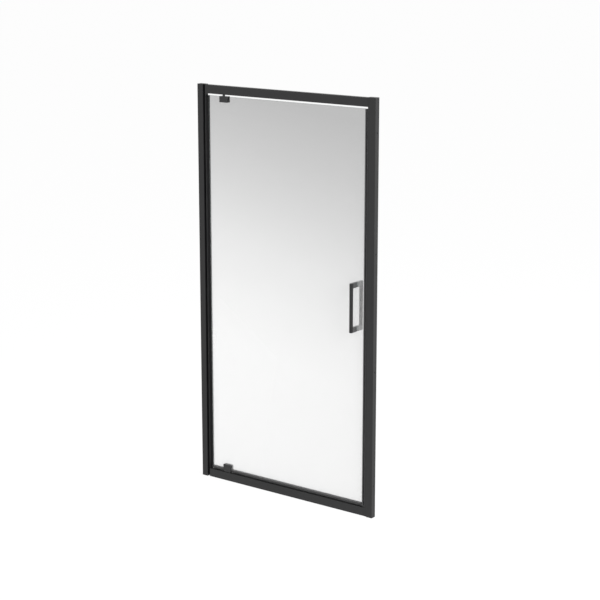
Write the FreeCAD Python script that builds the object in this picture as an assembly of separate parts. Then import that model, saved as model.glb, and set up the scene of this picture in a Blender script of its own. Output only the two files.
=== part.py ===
# Framed pivot shower door: a fixed aluminium frame between two walls,
# and a glass leaf that turns outwards on two pins.
# Millimetres. X runs to the right as seen from outside, -Y points outside, Z is up.
# The origin is at the bottom centre of the frame, in the middle plane of the glass.
import FreeCAD
import Part
import os

Vector = FreeCAD.Vector

# Overall frame
FRAME_WIDTH = 1000.0
FRAME_HEIGHT = 1900.0
CAP_THICKNESS = 2.0
EDGE_ROUND = 0.5
DRILL_OVERRUN = 1.5
ANGLE_TOLERANCE = 0.01

# Wall channels, one on each wall
WALL_PROFILE_FACE = 31.5
WALL_PROFILE_DEPTH = 27.0
WALL_PROFILE_WALL = 1.5
WALL_SCREW_COUNT = 4
WALL_SCREW_MARGIN = 150.0
WALL_SCREW_HOLE_RADIUS = 2.75

# Stiles, which slide into the wall channels
STILE_TONGUE = 19.0
STILE_REVEAL = 12.0
STILE_WALL = 1.5
SLIDING_CLEARANCE = 0.2
SLOT_MOUTH_WIDTH = 3.0
SLOT_MOUTH_DEPTH = 1.2
SLOT_WIDTH = 5.4
SLOT_DEPTH = 2.2
SHADOW_GROOVE_DEPTH = 11.0

# Header and sill rails
RAIL_HEIGHT = 40.0
RAIL_DEPTH = 21.0
RAIL_WALL = 1.5
RAIL_SETBACK = 4.0
RAIL_PIVOT_CHAMBER = 10.5
PORT_RADIUS = 3.2
PORT_BORE_RADIUS = 1.75
PORT_SINK = 0.3
DECK_GROOVE_WIDTH = 2.0
DECK_GROOVE_DEPTH = 0.8
DECK_GROOVE_INSET = 2.0

# Frame fasteners
CORNER_SCREW_HEAD_RADIUS = 2.75
CORNER_SCREW_HEAD = 2.2
CORNER_SCREW_REACH = 18.0
CORNER_SCREW_ACCESS = 3.2
ADJUSTING_SCREW_COUNT = 3
ADJUSTING_SCREW_MARGIN = 250.0
ADJUSTING_SCREW_RADIUS = 1.95
ADJUSTING_SCREW_LENGTH = 9.0
ADJUSTING_SCREW_HEAD_RADIUS = 3.6
ADJUSTING_SCREW_HEAD = 2.2
SCREW_CAP_RADIUS = 5.6
SCREW_CAP_HEIGHT = 3.8
SCREW_CAP_WALL = 0.8
SCREW_CAP_ROUND = 1.2
HOLE_CLEARANCE = 0.15
FIT_CLEARANCE = 0.02
CAP_PLUG_DEPTH = 8.0

# Glass leaf
GLASS_THICKNESS = 6.0
GLASS_SETBACK = 14.0
GLASS_RAIL_GAP = 10.0
GLASS_ARRIS = 0.5
LEAF_GAP = 3.0

# Pivot hinges, clamped on the glass in a notch
PIVOT_INSET = 146.0
HINGE_WIDTH = 46.0
HINGE_HEIGHT = 28.0
HINGE_SETBACK = 5.0
HINGE_RAIL_GAP = 8.5
HINGE_ROUND = 1.0
BACK_PLATE_THICKNESS = 6.0
GASKET_THICKNESS = 1.0
NOTCH_WIDTH = 26.0
NOTCH_DEPTH = 18.0
NOTCH_ROUND = 4.0
CORE_CLEARANCE = 0.5
CLAMP_SCREW_SPACING = 17.0
CLAMP_SCREW_DROP = 15.5
CLAMP_SCREW_RADIUS = 2.5
CLAMP_SCREW_HEAD_RADIUS = 4.25
CLAMP_SCREW_HEAD = 3.6
CLAMP_SCREW_REACH = 5.0
CLAMP_THREAD_SPARE = 1.2

# Pivot pins and their bushes
PIN_RADIUS = 4.0
PIN_SEAT = 18.0
PIN_END_GAP = 1.0
PIN_CHAMFER = 0.6
RUNNING_CLEARANCE = 0.05
BUSH_WALL = 1.0
BUSH_FLANGE_STEP = 0.8
BUSH_SEAT_GAP = 0.2
PIVOT_BLOCK_INSET = 3.0
PIVOT_BLOCK_ROUND = 2.0

# Seals
SEAL_WALL = 1.2
SEAL_DROP = 6.0
HINGE_SEAL_LEG = 4.5
HINGE_SEAL_NOSE = 3.0
HINGE_SEAL_TIP = 2.4
MAGNET_PROFILE_LEG = 11.0
MAGNET_PROFILE_BODY = 9.0
MAGNET_PROFILE_DEPTH = 10.0
MAGNET_PROFILE_CHAMFER = 0.8
FINGER_RIDGE_WIDTH = 6.0
FINGER_RIDGE_HEIGHT = 7.5
FINGER_RIDGE_TAPER = 0.6
MAGNET_WIDTH = 6.0
MAGNET_THICKNESS = 3.0
MAGNET_CLEARANCE = 0.1
BULB_HEIGHT = 2.4
BULB_WIDTH = 6.0
BULB_WALL = 0.8
BULB_FLOOR = 0.4
STRIKE_HEIGHT = 1.5
STRIKE_WIDTH = 8.0
SEAL_END_GAP = 0.5
DRIP_LEG = 6.0
DRIP_LEDGE_REACH = 6.5
DRIP_LEDGE_WALL = 1.6
DRIP_LEDGE_FALL = 0.8
DRIP_SKIRT = 7.0
DRIP_FIN_REACH = 8.5
DRIP_FIN_LEAN = 2.0
DRIP_FIN_WALL = 1.0
DRIP_END_GAP = 0.3

# Handles, back to back through the glass
HANDLE_INSET = 109.0
HANDLE_CENTRE_HEIGHT = 965.0
HANDLE_HEIGHT = 225.0
HANDLE_WIDTH = 13.0
HANDLE_PROJECTION = 40.0
HANDLE_BAR = 12.0
HANDLE_POST = 23.0
HANDLE_ROUND = 1.2
HANDLE_INNER_ROUND = 3.0
WASHER_THICKNESS = 1.0
WASHER_RADIUS = 6.2
STUD_RADIUS = 3.0
STUD_DEPTH = 20.0
SLEEVE_RADIUS = 6.0

# Places worked out from those sizes
WALL_X = -FRAME_WIDTH / 2
PROFILE_TOP = FRAME_HEIGHT - CAP_THICKNESS
MID_HEIGHT = PROFILE_TOP / 2
GLASS_FRONT = -GLASS_THICKNESS / 2
GLASS_BACK = GLASS_THICKNESS / 2
RAIL_FRONT = GLASS_FRONT - GLASS_SETBACK
RAIL_BACK = RAIL_FRONT + RAIL_DEPTH
CHANNEL_FRONT = RAIL_FRONT - RAIL_SETBACK
CHANNEL_BACK = CHANNEL_FRONT + WALL_PROFILE_DEPTH
CHANNEL_INNER_FRONT = CHANNEL_FRONT + WALL_PROFILE_WALL
CHANNEL_INNER_BACK = CHANNEL_BACK - WALL_PROFILE_WALL
CHANNEL_LIP_X = WALL_X + WALL_PROFILE_FACE
TONGUE_X = CHANNEL_LIP_X - STILE_TONGUE
TONGUE_FRONT = CHANNEL_INNER_FRONT + SLIDING_CLEARANCE
TONGUE_BACK = CHANNEL_INNER_BACK - SLIDING_CLEARANCE
STILE_FACE_X = CHANNEL_LIP_X + STILE_REVEAL
HEADER_BOTTOM = PROFILE_TOP - RAIL_HEIGHT
SILL_TOP = RAIL_HEIGHT
WEB_BOTTOM = HEADER_BOTTOM + RAIL_WALL + RAIL_PIVOT_CHAMBER
WEB_TOP = WEB_BOTTOM + RAIL_WALL
PORT_Y = RAIL_BACK - RAIL_WALL - PORT_RADIUS + PORT_SINK
PORT_HEIGHTS = (WEB_TOP + PORT_RADIUS - PORT_SINK, PROFILE_TOP - RAIL_WALL - PORT_RADIUS + PORT_SINK)
SLOT_FLOOR_X = STILE_FACE_X - SLOT_MOUTH_DEPTH - SLOT_DEPTH
GROOVE_FLOOR = RAIL_FRONT + SHADOW_GROOVE_DEPTH
ADJUSTING_SCREW_X = CHANNEL_LIP_X - STILE_TONGUE / 2
PIVOT_X = WALL_X + PIVOT_INSET
PIVOT_Y = (RAIL_FRONT + RAIL_BACK) / 2
HINGE_TOP = HEADER_BOTTOM - HINGE_RAIL_GAP
HINGE_BOTTOM = HINGE_TOP - HINGE_HEIGHT
HINGE_FRONT = RAIL_FRONT + HINGE_SETBACK
CLAMP_FRONT = GLASS_FRONT - GASKET_THICKNESS
CLAMP_BACK = GLASS_BACK + GASKET_THICKNESS
GLASS_TOP = HEADER_BOTTOM - GLASS_RAIL_GAP
GLASS_BOTTOM = SILL_TOP + GLASS_RAIL_GAP
NOTCH_FLOOR = GLASS_TOP - NOTCH_DEPTH
CLAMP_SCREW_Z = HINGE_TOP - CLAMP_SCREW_DROP
BUSH_RADIUS = PIN_RADIUS + RUNNING_CLEARANCE + BUSH_WALL
GLASS_LEFT = STILE_FACE_X + LEAF_GAP + HINGE_SEAL_NOSE
GLASS_RIGHT = -STILE_FACE_X - LEAF_GAP - MAGNET_PROFILE_BODY
SEAL_BOTTOM = GLASS_BOTTOM - SEAL_DROP
HANDLE_X = FRAME_WIDTH / 2 - HANDLE_INSET
HANDLE_POST_OFFSET = (HANDLE_HEIGHT - HANDLE_POST) / 2
POST_HEIGHTS = (HANDLE_CENTRE_HEIGHT - HANDLE_POST_OFFSET, HANDLE_CENTRE_HEIGHT + HANDLE_POST_OFFSET)
POST_BASE = GLASS_FRONT - WASHER_THICKNESS

X_AXIS = Vector(1, 0, 0)
Y_AXIS = Vector(0, 1, 0)
Z_AXIS = Vector(0, 0, 1)


def runs_along(edge, axis):
    """Whether a straight edge lies along an axis."""
    return edge.tangentAt(edge.FirstParameter).cross(axis).Length < ANGLE_TOLERANCE


def prism(points, along, radius=0.0):
    """An outline drawn through the points and extruded, with its lengthwise edges rounded."""
    solid = Part.Face(Part.makePolygon(points + points[:1])).extrude(along)
    if radius:
        direction = Vector(along).normalize()
        lengthwise = [e for e in solid.Edges if runs_along(e, direction)]
        solid = solid.makeFillet(radius, lengthwise)
    return solid


def upright(outline, bottom, top, radius=0.0):
    """A vertical extrusion of an outline given in X and Y."""
    return prism([Vector(x, y, bottom) for x, y in outline], Vector(0, 0, top - bottom), radius)


def lengthwise(outline, left, right, radius=0.0):
    """A level extrusion along X of an outline given in Y and Z."""
    return prism([Vector(left, y, z) for y, z in outline], Vector(right - left, 0, 0), radius)


def block(x_range, y_range, z_range):
    """A plain box between the given limits."""
    size = [high - low for low, high in (x_range, y_range, z_range)]
    return Part.makeBox(*size, Vector(x_range[0], y_range[0], z_range[0]))


def rod(radius, start, end):
    """A round bar between two points."""
    return Part.makeCylinder(radius, (end - start).Length, start, end - start)


def mirrored(shape):
    """The same piece on the right-hand side of the frame."""
    return shape.mirror(Vector(0, 0, 0), X_AXIS)


def flipped(shape):
    """The same piece at the foot of the doorway."""
    return shape.mirror(Vector(0, 0, MID_HEIGHT), Z_AXIS)


def evenly_spaced(count, margin):
    """Heights of a row of fixings along a jamb."""
    pitch = (PROFILE_TOP - 2 * margin) / (count - 1)
    return [margin + index * pitch for index in range(count)]


# Wall channel: a U that is screwed to the wall through its web and open towards the doorway
def wall_profile():
    outline = [
        (WALL_X, CHANNEL_FRONT),
        (CHANNEL_LIP_X, CHANNEL_FRONT),
        (CHANNEL_LIP_X, CHANNEL_INNER_FRONT),
        (WALL_X + WALL_PROFILE_WALL, CHANNEL_INNER_FRONT),
        (WALL_X + WALL_PROFILE_WALL, CHANNEL_INNER_BACK),
        (CHANNEL_LIP_X, CHANNEL_INNER_BACK),
        (CHANNEL_LIP_X, CHANNEL_BACK),
        (WALL_X, CHANNEL_BACK),
    ]
    channel = upright(outline, 0, PROFILE_TOP, EDGE_ROUND)
    middle = (CHANNEL_FRONT + CHANNEL_BACK) / 2
    for z in evenly_spaced(WALL_SCREW_COUNT, WALL_SCREW_MARGIN):
        wall_side = Vector(WALL_X - DRILL_OVERRUN, middle, z)
        inside = Vector(WALL_X + WALL_PROFILE_WALL + DRILL_OVERRUN, middle, z)
        channel = channel.cut(rod(WALL_SCREW_HOLE_RADIUS, wall_side, inside))
    for z in evenly_spaced(ADJUSTING_SCREW_COUNT, ADJUSTING_SCREW_MARGIN):
        inside = Vector(ADJUSTING_SCREW_X, CHANNEL_INNER_BACK - DRILL_OVERRUN, z)
        shower_side = Vector(ADJUSTING_SCREW_X, CHANNEL_BACK + DRILL_OVERRUN, z)
        channel = channel.cut(rod(ADJUSTING_SCREW_RADIUS + HOLE_CLEARANCE, inside, shower_side))
    return channel


# Stile: a hollow extrusion with a tongue for the wall channel and an undercut slot that faces the leaf.
# The hinge-side one has a deep shadow groove between the channel and the rails.
def stile(grooved):
    outline = [
        (TONGUE_X, TONGUE_FRONT),
        (CHANNEL_LIP_X, TONGUE_FRONT),
        (CHANNEL_LIP_X, RAIL_FRONT),
        (STILE_FACE_X, RAIL_FRONT),
        (STILE_FACE_X, RAIL_BACK),
        (CHANNEL_LIP_X, RAIL_BACK),
        (CHANNEL_LIP_X, TONGUE_BACK),
        (TONGUE_X, TONGUE_BACK),
    ]
    shoulder = CHANNEL_LIP_X - STILE_WALL
    slot_back_x = SLOT_FLOOR_X - STILE_WALL
    slot_front = -SLOT_WIDTH / 2 - STILE_WALL
    lip_x = STILE_FACE_X - STILE_WALL
    chamber_back = min(TONGUE_BACK, RAIL_BACK) - STILE_WALL
    if grooved:
        nose_chamber = [(shoulder, GROOVE_FLOOR + STILE_WALL), (slot_back_x, GROOVE_FLOOR + STILE_WALL)]
    else:
        nose_front = RAIL_FRONT + STILE_WALL
        nose_chamber = [
            (shoulder, nose_front),
            (lip_x, nose_front),
            (lip_x, slot_front),
            (slot_back_x, slot_front),
        ]
    tongue_chamber = [
        (slot_back_x, chamber_back),
        (TONGUE_X + STILE_WALL, chamber_back),
        (TONGUE_X + STILE_WALL, TONGUE_FRONT + STILE_WALL),
        (shoulder, TONGUE_FRONT + STILE_WALL),
    ]
    body = upright(outline, 0, PROFILE_TOP)
    nose_edges = [
        e
        for e in body.Edges
        if runs_along(e, Z_AXIS)
        and abs(e.CenterOfMass.x - STILE_FACE_X) < FIT_CLEARANCE
    ]
    body = body.makeFillet(EDGE_ROUND, nose_edges)
    body = body.cut(upright(nose_chamber + tongue_chamber, 0, PROFILE_TOP))
    if grooved:
        body = body.cut(block((CHANNEL_LIP_X, lip_x), (RAIL_FRONT, GROOVE_FLOOR), (0, PROFILE_TOP)))
    mouth = (STILE_FACE_X - SLOT_MOUTH_DEPTH, STILE_FACE_X)
    half_mouth = SLOT_MOUTH_WIDTH / 2
    body = body.cut(block(mouth, (-half_mouth, half_mouth), (0, PROFILE_TOP)))
    body = body.cut(block((SLOT_FLOOR_X, mouth[0]), (-SLOT_WIDTH / 2, SLOT_WIDTH / 2), (0, PROFILE_TOP)))
    for z in PORT_HEIGHTS:
        for height in (z, PROFILE_TOP - z):
            outside = Vector(TONGUE_X - DRILL_OVERRUN, PORT_Y, height)
            inside = Vector(TONGUE_X + STILE_WALL + DRILL_OVERRUN, PORT_Y, height)
            body = body.cut(rod(CORNER_SCREW_ACCESS, outside, inside))
            seat = Vector(slot_back_x - DRILL_OVERRUN, PORT_Y, height)
            face = Vector(STILE_FACE_X + DRILL_OVERRUN, PORT_Y, height)
            body = body.cut(rod(PORT_BORE_RADIUS + HOLE_CLEARANCE, seat, face))
    for z in evenly_spaced(ADJUSTING_SCREW_COUNT, ADJUSTING_SCREW_MARGIN):
        inside = Vector(ADJUSTING_SCREW_X, chamber_back - DRILL_OVERRUN, z)
        back = Vector(ADJUSTING_SCREW_X, TONGUE_BACK + DRILL_OVERRUN, z)
        body = body.cut(rod(ADJUSTING_SCREW_RADIUS + FIT_CLEARANCE, inside, back))
    return body


# Moulded cap that closes the top of a jamb, with a plug between the channel's web and the stile
def wall_cap():
    outline = [
        (WALL_X, CHANNEL_FRONT),
        (CHANNEL_LIP_X, CHANNEL_FRONT),
        (CHANNEL_LIP_X, RAIL_FRONT),
        (STILE_FACE_X, RAIL_FRONT),
        (STILE_FACE_X, RAIL_BACK),
        (CHANNEL_LIP_X, RAIL_BACK),
        (CHANNEL_LIP_X, CHANNEL_BACK),
        (WALL_X, CHANNEL_BACK),
    ]
    lid = upright(outline, PROFILE_TOP, FRAME_HEIGHT, EDGE_ROUND)
    plug_x = (WALL_X + WALL_PROFILE_WALL + SLIDING_CLEARANCE, TONGUE_X - SLIDING_CLEARANCE)
    plug = block(plug_x, (TONGUE_FRONT, TONGUE_BACK), (PROFILE_TOP - CAP_PLUG_DEPTH, PROFILE_TOP))
    return lid.fuse(plug).removeSplitter()


# Header: a two-chamber extrusion whose lower wall and web carry the pivot bush
def header_rail():
    left, right = STILE_FACE_X, -STILE_FACE_X
    section = [
        (RAIL_FRONT, HEADER_BOTTOM),
        (RAIL_BACK, HEADER_BOTTOM),
        (RAIL_BACK, PROFILE_TOP),
        (RAIL_FRONT, PROFILE_TOP),
    ]
    rail = lengthwise(section, left, right, EDGE_ROUND)
    inside = (RAIL_FRONT + RAIL_WALL, RAIL_BACK - RAIL_WALL)
    rail = rail.cut(block((left, right), inside, (HEADER_BOTTOM + RAIL_WALL, WEB_BOTTOM)))
    rail = rail.cut(block((left, right), inside, (WEB_TOP, PROFILE_TOP - RAIL_WALL)))
    for z in PORT_HEIGHTS:
        start, end = Vector(left, PORT_Y, z), Vector(right, PORT_Y, z)
        rail = rail.fuse(rod(PORT_RADIUS, start, end))
        rail = rail.cut(rod(PORT_BORE_RADIUS, start, end))
    bush_hole = rod(
        BUSH_RADIUS + FIT_CLEARANCE,
        Vector(PIVOT_X, PIVOT_Y, HEADER_BOTTOM - RAIL_WALL),
        Vector(PIVOT_X, PIVOT_Y, WEB_TOP),
    )
    return rail.cut(bush_hole).removeSplitter()


# Sill: the header's extrusion turned over, with a shallow drip groove along the front of its deck
def sill_rail():
    groove_y = (RAIL_FRONT + DECK_GROOVE_INSET, RAIL_FRONT + DECK_GROOVE_INSET + DECK_GROOVE_WIDTH)
    groove_z = (SILL_TOP - DECK_GROOVE_DEPTH, SILL_TOP)
    groove = block((STILE_FACE_X, -STILE_FACE_X), groove_y, groove_z)
    return flipped(header_rail()).cut(groove)


# Screws from inside the stiles into the rails' ports, two at each corner of the frame
def frame_corner_screws():
    screws = []
    seat_x = SLOT_FLOOR_X - STILE_WALL
    for z in PORT_HEIGHTS:
        seat = Vector(seat_x, PORT_Y, z)
        head = rod(CORNER_SCREW_HEAD_RADIUS, seat - X_AXIS * CORNER_SCREW_HEAD, seat)
        tip = Vector(STILE_FACE_X + CORNER_SCREW_REACH, PORT_Y, z)
        screw = head.fuse(rod(PORT_BORE_RADIUS - FIT_CLEARANCE, seat, tip)).removeSplitter()
        screws += [screw, mirrored(screw), flipped(screw), mirrored(flipped(screw))]
    return Part.makeCompound(screws)


# Screws through the channels' rear flanges that lock the stiles, and the covers that snap over their heads
def adjusting_fixings():
    screws = []
    covers = []
    for z in evenly_spaced(ADJUSTING_SCREW_COUNT, ADJUSTING_SCREW_MARGIN):
        seat = Vector(ADJUSTING_SCREW_X, CHANNEL_BACK, z)
        head = rod(ADJUSTING_SCREW_HEAD_RADIUS, seat, seat + Y_AXIS * ADJUSTING_SCREW_HEAD)
        shank = rod(ADJUSTING_SCREW_RADIUS, seat - Y_AXIS * ADJUSTING_SCREW_LENGTH, seat)
        screw = head.fuse(shank).removeSplitter()
        dome = rod(SCREW_CAP_RADIUS, seat, seat + Y_AXIS * SCREW_CAP_HEIGHT)
        rim = [e for e in dome.Edges if e.Closed and e.CenterOfMass.y > CHANNEL_BACK + SCREW_CAP_HEIGHT / 2]
        dome = dome.makeFillet(SCREW_CAP_ROUND, rim)
        hollow_depth = SCREW_CAP_HEIGHT - SCREW_CAP_WALL
        cover = dome.cut(rod(SCREW_CAP_RADIUS - SCREW_CAP_WALL, seat, seat + Y_AXIS * hollow_depth))
        screws += [screw, mirrored(screw)]
        covers += [cover, mirrored(cover)]
    return Part.makeCompound(screws), Part.makeCompound(covers)


# Bush for a pivot pin, whose flange takes up the space between the hinge and the rail;
# on the sill the flange is a broad block that carries the leaf
def pivot_bush(carries_leaf):
    bottom = Vector(PIVOT_X, PIVOT_Y, HINGE_TOP + BUSH_SEAT_GAP)
    shoulder = Vector(PIVOT_X, PIVOT_Y, HEADER_BOTTOM)
    top = Vector(PIVOT_X, PIVOT_Y, WEB_TOP)
    if carries_leaf:
        half = HINGE_WIDTH / 2 - PIVOT_BLOCK_INSET
        block_x = (PIVOT_X - half, PIVOT_X + half)
        flange = block(block_x, (HINGE_FRONT, CLAMP_BACK), (bottom.z, shoulder.z))
        flange = flange.makeFillet(PIVOT_BLOCK_ROUND, [e for e in flange.Edges if runs_along(e, Z_AXIS)])
    else:
        flange = rod(BUSH_RADIUS + BUSH_FLANGE_STEP, bottom, shoulder)
    bush = flange.fuse(rod(BUSH_RADIUS, shoulder, top))
    return bush.cut(rod(PIN_RADIUS + RUNNING_CLEARANCE, bottom, top)).removeSplitter()


# Steel pin that is pressed into the hinge and turns in the bush
def pivot_pin():
    bottom = Vector(PIVOT_X, PIVOT_Y, HINGE_TOP - PIN_SEAT)
    top = Vector(PIVOT_X, PIVOT_Y, WEB_TOP - PIN_END_GAP)
    pin = rod(PIN_RADIUS, bottom, top)
    return pin.makeChamfer(PIN_CHAMFER, [e for e in pin.Edges if e.Closed])


def clamp_screw_places():
    """Axes of the two clamp screws of the top hinge, in X."""
    return (PIVOT_X - CLAMP_SCREW_SPACING / 2, PIVOT_X + CLAMP_SCREW_SPACING / 2)


def hinge_plate(front, back, outer_face):
    """The rectangular half of a clamp, with the edges of its outer face rounded."""
    half = HINGE_WIDTH / 2
    plate = block((PIVOT_X - half, PIVOT_X + half), (front, back), (HINGE_BOTTOM, HINGE_TOP))
    rounded = []
    for edge in plate.Edges:
        on_face = abs(edge.CenterOfMass.y - outer_face) < FIT_CLEARANCE
        across = runs_along(edge, Y_AXIS)
        if on_face or across:
            rounded.append(edge)
    return plate.makeFillet(HINGE_ROUND, rounded)


# Front half of the hinge: it holds the pin, and its core reaches through the notch in the glass
def hinge_body():
    body = hinge_plate(HINGE_FRONT, CLAMP_FRONT, HINGE_FRONT)
    half_core = NOTCH_WIDTH / 2 - CORE_CLEARANCE
    core_x = (PIVOT_X - half_core, PIVOT_X + half_core)
    bridge_half = HINGE_WIDTH / 2 - HINGE_ROUND
    bridge_x = (PIVOT_X - bridge_half, PIVOT_X + bridge_half)
    core = block(core_x, (CLAMP_FRONT, CLAMP_BACK), (NOTCH_FLOOR + CORE_CLEARANCE, HINGE_TOP))
    bridge = block(bridge_x, (CLAMP_FRONT, CLAMP_BACK), (GLASS_TOP + CORE_CLEARANCE, HINGE_TOP))
    floor_edges = [
        e
        for e in core.Edges
        if runs_along(e, Y_AXIS) and e.CenterOfMass.z < CLAMP_SCREW_Z
    ]
    core = core.makeFillet(NOTCH_ROUND, floor_edges)
    body = body.fuse([core, bridge]).removeSplitter()
    seat = Vector(PIVOT_X, PIVOT_Y, HINGE_TOP - PIN_SEAT)
    body = body.cut(rod(PIN_RADIUS + FIT_CLEARANCE, seat, Vector(PIVOT_X, PIVOT_Y, HINGE_TOP + PIN_SEAT)))
    for x in clamp_screw_places():
        start = Vector(x, CLAMP_FRONT - CLAMP_SCREW_REACH - CLAMP_THREAD_SPARE, CLAMP_SCREW_Z)
        thread = rod(CLAMP_SCREW_RADIUS + FIT_CLEARANCE, start, Vector(x, CLAMP_BACK, CLAMP_SCREW_Z))
        body = body.cut(thread)
    return body


# Rear half of the hinge, counterbored for the clamp screws
def hinge_back_plate():
    outer = CLAMP_BACK + BACK_PLATE_THICKNESS
    plate = hinge_plate(CLAMP_BACK, outer, outer)
    for x in clamp_screw_places():
        back = Vector(x, outer, CLAMP_SCREW_Z)
        seat = back - Y_AXIS * (CLAMP_SCREW_HEAD + HOLE_CLEARANCE)
        plate = plate.cut(rod(CLAMP_SCREW_HEAD_RADIUS + HOLE_CLEARANCE, seat, back))
        inner = Vector(x, CLAMP_BACK, CLAMP_SCREW_Z)
        plate = plate.cut(rod(CLAMP_SCREW_RADIUS + HOLE_CLEARANCE, inner, seat))
    return plate


# Sheets that keep the clamp's metal off the glass, cut out round the notch
def hinge_gasket(front):
    half = HINGE_WIDTH / 2
    half_notch = NOTCH_WIDTH / 2
    outline = [
        (PIVOT_X - half, HINGE_BOTTOM),
        (PIVOT_X + half, HINGE_BOTTOM),
        (PIVOT_X + half, GLASS_TOP),
        (PIVOT_X + half_notch, GLASS_TOP),
        (PIVOT_X + half_notch, NOTCH_FLOOR),
        (PIVOT_X - half_notch, NOTCH_FLOOR),
        (PIVOT_X - half_notch, GLASS_TOP),
        (PIVOT_X - half, GLASS_TOP),
    ]
    return prism([Vector(x, front, z) for x, z in outline], Y_AXIS * GASKET_THICKNESS)


def hinge_gaskets():
    sheets = [hinge_gasket(CLAMP_FRONT), hinge_gasket(GLASS_BACK)]
    return Part.makeCompound(sheets + [flipped(sheet) for sheet in sheets])


# Socket-head screws from the back plates into the hinge cores
def hinge_clamp_screws():
    screws = []
    head_back = CLAMP_BACK + BACK_PLATE_THICKNESS - HOLE_CLEARANCE
    for x in clamp_screw_places():
        seat = Vector(x, head_back - CLAMP_SCREW_HEAD, CLAMP_SCREW_Z)
        head = rod(CLAMP_SCREW_HEAD_RADIUS, seat, seat + Y_AXIS * CLAMP_SCREW_HEAD)
        tip = Vector(x, CLAMP_FRONT - CLAMP_SCREW_REACH, CLAMP_SCREW_Z)
        screw = head.fuse(rod(CLAMP_SCREW_RADIUS, tip, seat)).removeSplitter()
        screws += [screw, flipped(screw)]
    return Part.makeCompound(screws)


# Toughened pane, notched at the hinges, drilled for the handles and with ground edges
def glass_panel():
    pane = block((GLASS_LEFT, GLASS_RIGHT), (GLASS_FRONT, GLASS_BACK), (GLASS_BOTTOM, GLASS_TOP))
    half_notch = NOTCH_WIDTH / 2
    notch_x = (PIVOT_X - half_notch, PIVOT_X + half_notch)
    notch = block(notch_x, (GLASS_FRONT, GLASS_BACK), (NOTCH_FLOOR, GLASS_TOP))
    floor_edges = [
        e
        for e in notch.Edges
        if runs_along(e, Y_AXIS)
        and e.CenterOfMass.z < GLASS_TOP - NOTCH_ROUND
    ]
    notch = notch.makeFillet(NOTCH_ROUND, floor_edges)
    pane = pane.cut([notch, flipped(notch)])
    for z in POST_HEIGHTS:
        pane = pane.cut(rod(SLEEVE_RADIUS, Vector(HANDLE_X, GLASS_FRONT, z), Vector(HANDLE_X, GLASS_BACK, z)))
    face_edges = []
    for edge in pane.Edges:
        if edge.Closed:
            continue
        if abs(abs(edge.CenterOfMass.y) - GLASS_BACK) < FIT_CLEARANCE:
            face_edges.append(edge)
    return pane.makeChamfer(GLASS_ARRIS, face_edges)


# Clip-on seal of the hinge edge: two legs on the glass and a tapered nose towards the stile
def hinge_edge_seal():
    outer = GLASS_BACK + SEAL_WALL
    leg_end = GLASS_LEFT + HINGE_SEAL_LEG
    tip = GLASS_LEFT - HINGE_SEAL_NOSE
    root = GLASS_LEFT - SEAL_WALL
    outline = [
        (leg_end, -outer),
        (root, -outer),
        (tip, -HINGE_SEAL_TIP / 2),
        (tip, HINGE_SEAL_TIP / 2),
        (root, outer),
        (leg_end, outer),
        (leg_end, GLASS_BACK),
        (GLASS_LEFT, GLASS_BACK),
        (GLASS_LEFT, GLASS_FRONT),
        (leg_end, GLASS_FRONT),
    ]
    return upright(outline, SEAL_BOTTOM, GLASS_TOP)


# Clip-on profile of the closing edge: legs on the glass, a finger ridge on the outside,
# an air chamber and a pocket for the magnet
def magnet_edge_profile():
    outer = GLASS_BACK + SEAL_WALL
    half_depth = MAGNET_PROFILE_DEPTH / 2
    end = GLASS_RIGHT + MAGNET_PROFILE_BODY
    leg_end = GLASS_RIGHT - MAGNET_PROFILE_LEG
    ridge_front = -outer - FINGER_RIDGE_HEIGHT
    ridge_left = GLASS_RIGHT - FINGER_RIDGE_WIDTH
    outline = [
        (leg_end, -outer),
        (ridge_left, -outer),
        (ridge_left + FINGER_RIDGE_TAPER, ridge_front),
        (GLASS_RIGHT - FINGER_RIDGE_TAPER, ridge_front),
        (GLASS_RIGHT, -half_depth),
        (end - MAGNET_PROFILE_CHAMFER, -half_depth),
        (end, -half_depth + MAGNET_PROFILE_CHAMFER),
        (end, half_depth - MAGNET_PROFILE_CHAMFER),
        (end - MAGNET_PROFILE_CHAMFER, half_depth),
        (GLASS_RIGHT + MAGNET_PROFILE_CHAMFER, half_depth),
        (GLASS_RIGHT, outer),
        (leg_end, outer),
        (leg_end, GLASS_BACK),
        (GLASS_RIGHT, GLASS_BACK),
        (GLASS_RIGHT, GLASS_FRONT),
        (leg_end, GLASS_FRONT),
    ]
    profile = upright(outline, SEAL_BOTTOM, GLASS_TOP)
    pocket_x = (end - SEAL_WALL - MAGNET_THICKNESS - MAGNET_CLEARANCE, end - SEAL_WALL)
    half_pocket = MAGNET_WIDTH / 2 + MAGNET_CLEARANCE
    pocket = block(pocket_x, (-half_pocket, half_pocket), (SEAL_BOTTOM, GLASS_TOP))
    chamber_x = (GLASS_RIGHT + SEAL_WALL, pocket_x[0] - SEAL_WALL)
    chamber = block(chamber_x, (-half_pocket, half_pocket), (SEAL_BOTTOM, GLASS_TOP))
    return profile.cut([pocket, chamber])


def door_magnet_strip():
    outer_x = GLASS_RIGHT + MAGNET_PROFILE_BODY - SEAL_WALL
    half = MAGNET_WIDTH / 2
    return block((outer_x - MAGNET_THICKNESS, outer_x), (-half, half), (SEAL_BOTTOM, GLASS_TOP))


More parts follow.
